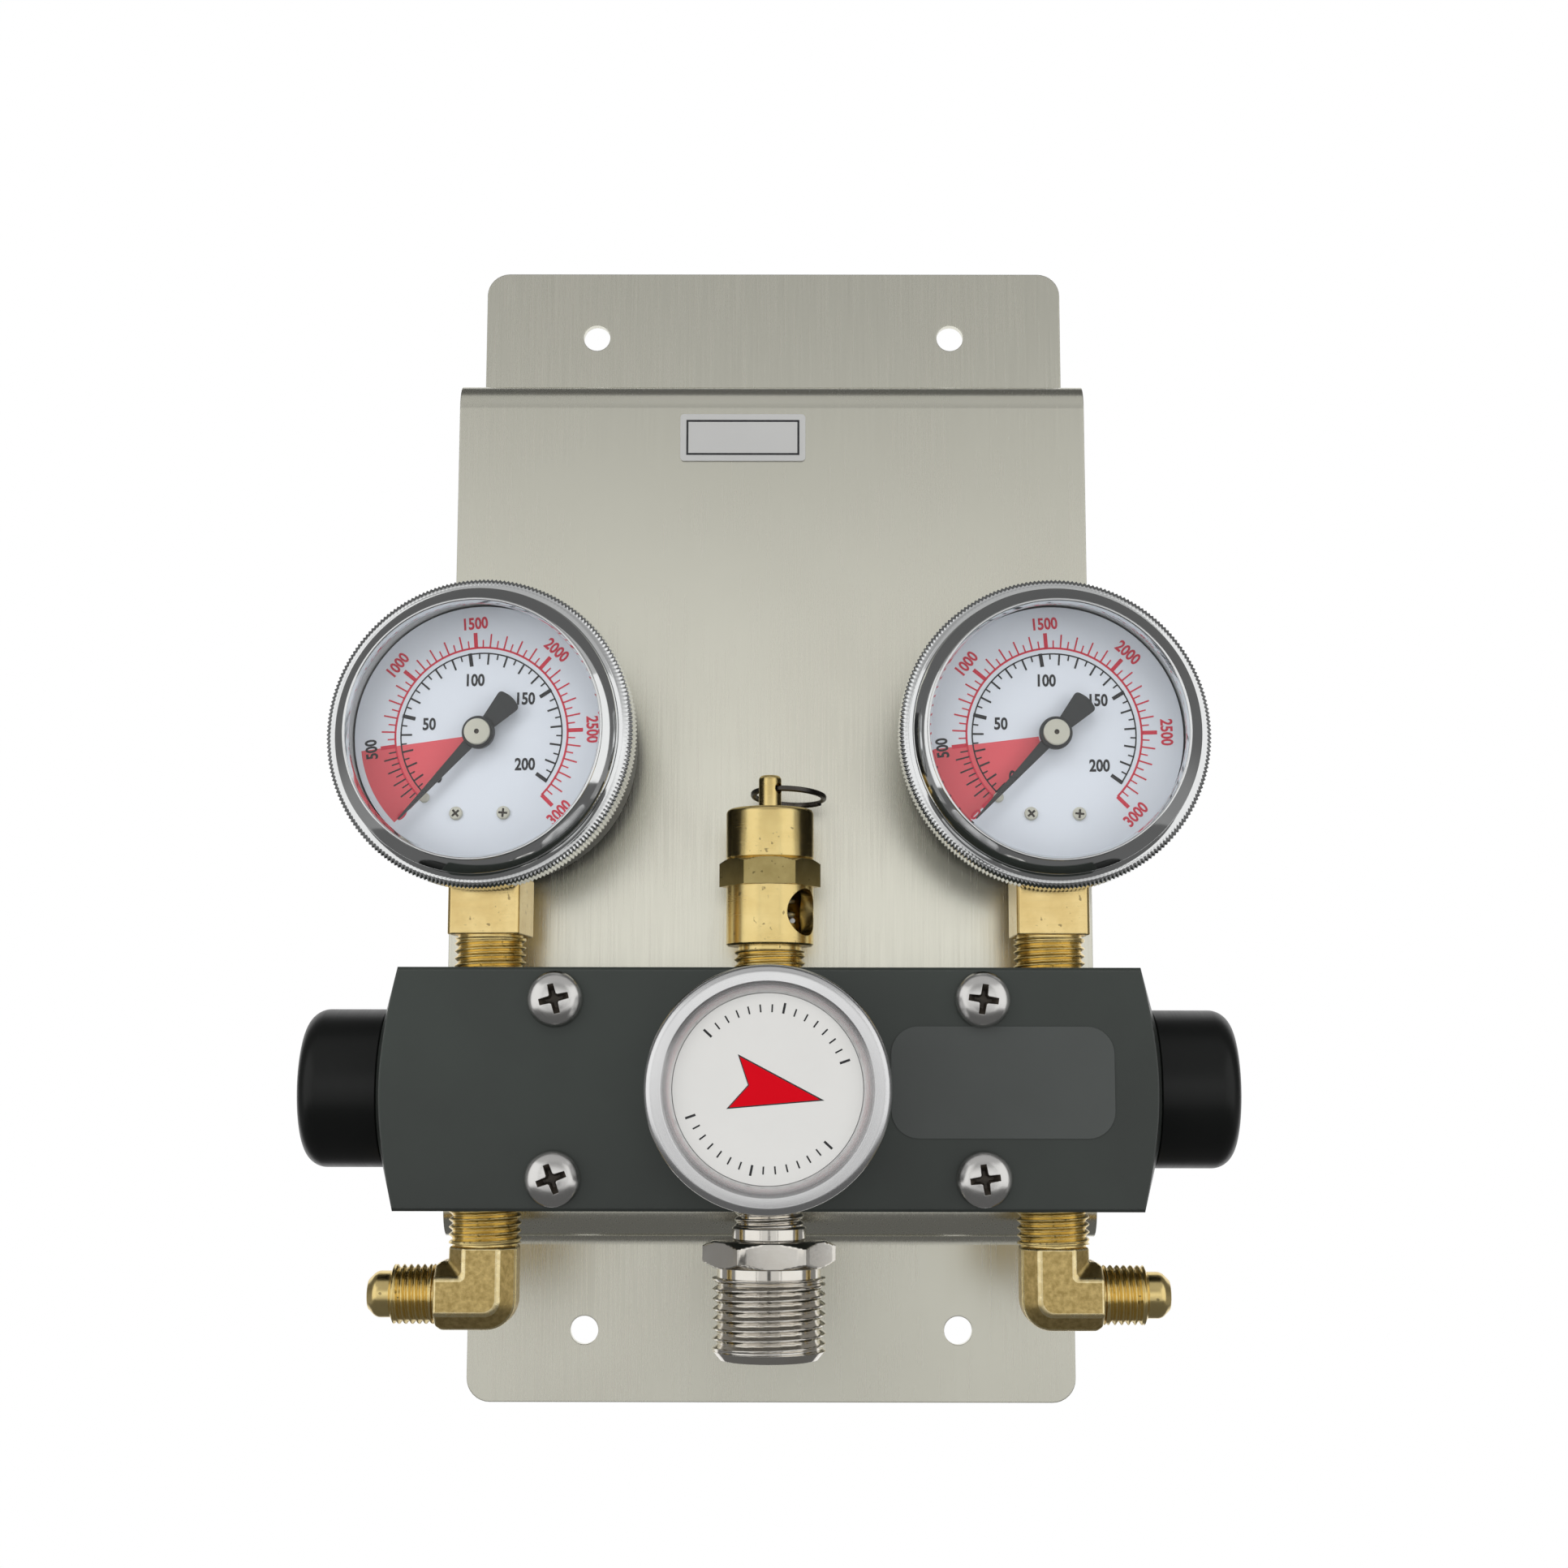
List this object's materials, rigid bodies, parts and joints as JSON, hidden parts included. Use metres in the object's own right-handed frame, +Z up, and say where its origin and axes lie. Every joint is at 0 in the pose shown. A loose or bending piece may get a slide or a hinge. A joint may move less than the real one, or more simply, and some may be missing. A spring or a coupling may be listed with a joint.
{
  "type": "gas manifold panel",
  "caption": "Folded steel wall panel carrying a changeover gas valve block with flared inlets, a threaded outlet, a relief valve, dial pressure gauges and a priority knob.",
  "frame": {"origin": "middle of the four wall holes, on the wall plane", "axes": "+X to the right seen from the front, +Y into the wall, +Z up"},
  "size_m": [0.1764, 0.096, 0.25],
  "materials": {
    "stainless": "brushed",
    "anodised": "satin black anodised",
    "black_cap": "semi-gloss black anodised",
    "zinc_steel": "bright zinc",
    "turned_aluminium": "turned",
    "white_dial": "satin white",
    "steel": "turned",
    "brass": "machined",
    "rubber": "matte",
    "white_plastic": "matte",
    "spring_steel": "drawn wire",
    "dark_ring": "dark wire",
    "nickel": "nickel plated",
    "plate_grey": "satin",
    "label_dark": "satin",
    "black_case": "black paint",
    "chrome": "polished",
    "lens": "clear"
  },
  "bodies": {
    "manifold": {"bracket": "stainless", "manifold_body": "anodised", "body_screws": "zinc_steel", "body_nuts": "zinc_steel", "left_end_cap": "black_cap", "right_end_cap": "black_cap", "cap_seals": "rubber", "seat_nozzles": "brass", "stem_seals": "rubber", "left_main_spring": "spring_steel", "right_main_spring": "spring_steel", "left_bias_spring": "spring_steel", "right_bias_spring": "spring_steel", "selector_bush": "brass", "shaft_seal": "rubber", "relief_body": "brass", "relief_cap": "brass", "relief_spring": "spring_steel", "left_inlet_elbow": "brass", "right_inlet_elbow": "brass", "inlet_filters": "brass", "outlet_fitting": "nickel", "gas_label": "plate_grey", "body_label": "label_dark", "left_gauge_socket": "brass", "right_gauge_socket": "brass", "left_gauge_case": "black_case", "right_gauge_case": "black_case", "left_gauge_bezel": "chrome", "right_gauge_bezel": "chrome", "left_gauge_lens": "lens", "right_gauge_lens": "lens", "left_gauge_dial": "white_dial", "right_gauge_dial": "white_dial", "left_movement_frame": "brass", "right_movement_frame": "brass", "left_bourdon_tube": "brass", "right_bourdon_tube": "brass"},
    "selector": {"priority_knob": "turned_aluminium", "knob_dial": "white_dial", "knob_set_screw": "steel", "selector_shaft": "steel"},
    "left_cup": {"left_spring_cup": "steel"},
    "left_valve": {"left_piston": "brass", "left_piston_seal": "rubber", "left_seat_plug": "white_plastic"},
    "left_needle": {"left_pointer": "black_case", "left_pinion": "brass"},
    "left_sector_arm": {"left_sector": "brass"},
    "right_cup": {"right_spring_cup": "steel"},
    "right_valve": {"right_piston": "brass", "right_piston_seal": "rubber", "right_seat_plug": "white_plastic"},
    "right_needle": {"right_pointer": "black_case", "right_pinion": "brass"},
    "right_sector_arm": {"right_sector": "brass"},
    "relief_lifter": {"relief_stem": "brass", "relief_disc": "brass"},
    "ring": {"pull_ring": "dark_ring"}
  },
  "joints": [
    {"name": "knob_turn", "type": "hinge", "parent": "manifold", "child": "selector", "pos_m": [0, -0.059, -0.0585], "axis": [0, -1, 0], "range_deg": [0, 180]},
    {"name": "left_cup_slide", "type": "slide", "parent": "manifold", "child": "left_cup", "axis": [1, 0, 0], "range_m": [0, 0.002], "deforming": ["left_bias_spring"]},
    {"name": "left_valve_slide", "type": "slide", "parent": "manifold", "child": "left_valve", "axis": [-1, 0, 0], "range_m": [0, 0.0008], "stiffness_N_per_m": 3000, "springref_m": -0.004, "deforming": ["left_main_spring"]},
    {"name": "left_pointer_turn", "type": "hinge", "parent": "manifold", "child": "left_needle", "pos_m": [-0.054, -0.059, 0.0085], "axis": [0.1045, 0.9945, 0], "range_deg": [0, 270], "stiffness_Nm_per_rad": 0.0002},
    {"name": "left_sector_turn", "type": "hinge", "parent": "manifold", "child": "left_sector_arm", "pos_m": [-0.054, -0.059, 0.026], "axis": [0.1045, 0.9945, 0], "range_deg": [-45, 0]},
    {"name": "right_cup_slide", "type": "slide", "parent": "manifold", "child": "right_cup", "axis": [1, 0, 0], "range_m": [0, 0.002], "deforming": ["right_bias_spring"]},
    {"name": "right_valve_slide", "type": "slide", "parent": "manifold", "child": "right_valve", "axis": [1, 0, 0], "range_m": [0, 0.0008], "stiffness_N_per_m": 3000, "springref_m": -0.004, "deforming": ["right_main_spring"]},
    {"name": "right_pointer_turn", "type": "hinge", "parent": "manifold", "child": "right_needle", "pos_m": [0.054, -0.059, 0.0085], "axis": [-0.0262, 0.9997, 0], "range_deg": [0, 270], "stiffness_Nm_per_rad": 0.0002},
    {"name": "right_sector_turn", "type": "hinge", "parent": "manifold", "child": "right_sector_arm", "pos_m": [0.054, -0.059, 0.026], "axis": [-0.0262, 0.9997, 0], "range_deg": [-45, 0]},
    {"name": "relief_lift", "type": "slide", "parent": "manifold", "child": "relief_lifter", "axis": [0, 0, 1], "range_m": [0, 0.0025], "stiffness_N_per_m": 1500, "springref_m": -0.005, "deforming": ["relief_spring"]},
    {"name": "ring_swing", "type": "hinge", "parent": "relief_lifter", "child": "ring", "pos_m": [0, -0.059, -0.0006], "axis": [0.8536, -0.521, 0], "range_deg": [-12, 150]}
  ],
  "couplings": [
    {"joint": "left_cup_slide", "follows": "knob_turn", "m_per_rad": 0.0006366},
    {"joint": "right_cup_slide", "follows": "knob_turn", "m_per_rad": 0.0006366},
    {"joint": "left_sector_turn", "follows": "left_pointer_turn", "ratio": -0.16666},
    {"joint": "right_sector_turn", "follows": "right_pointer_turn", "ratio": -0.16666}
  ]
}
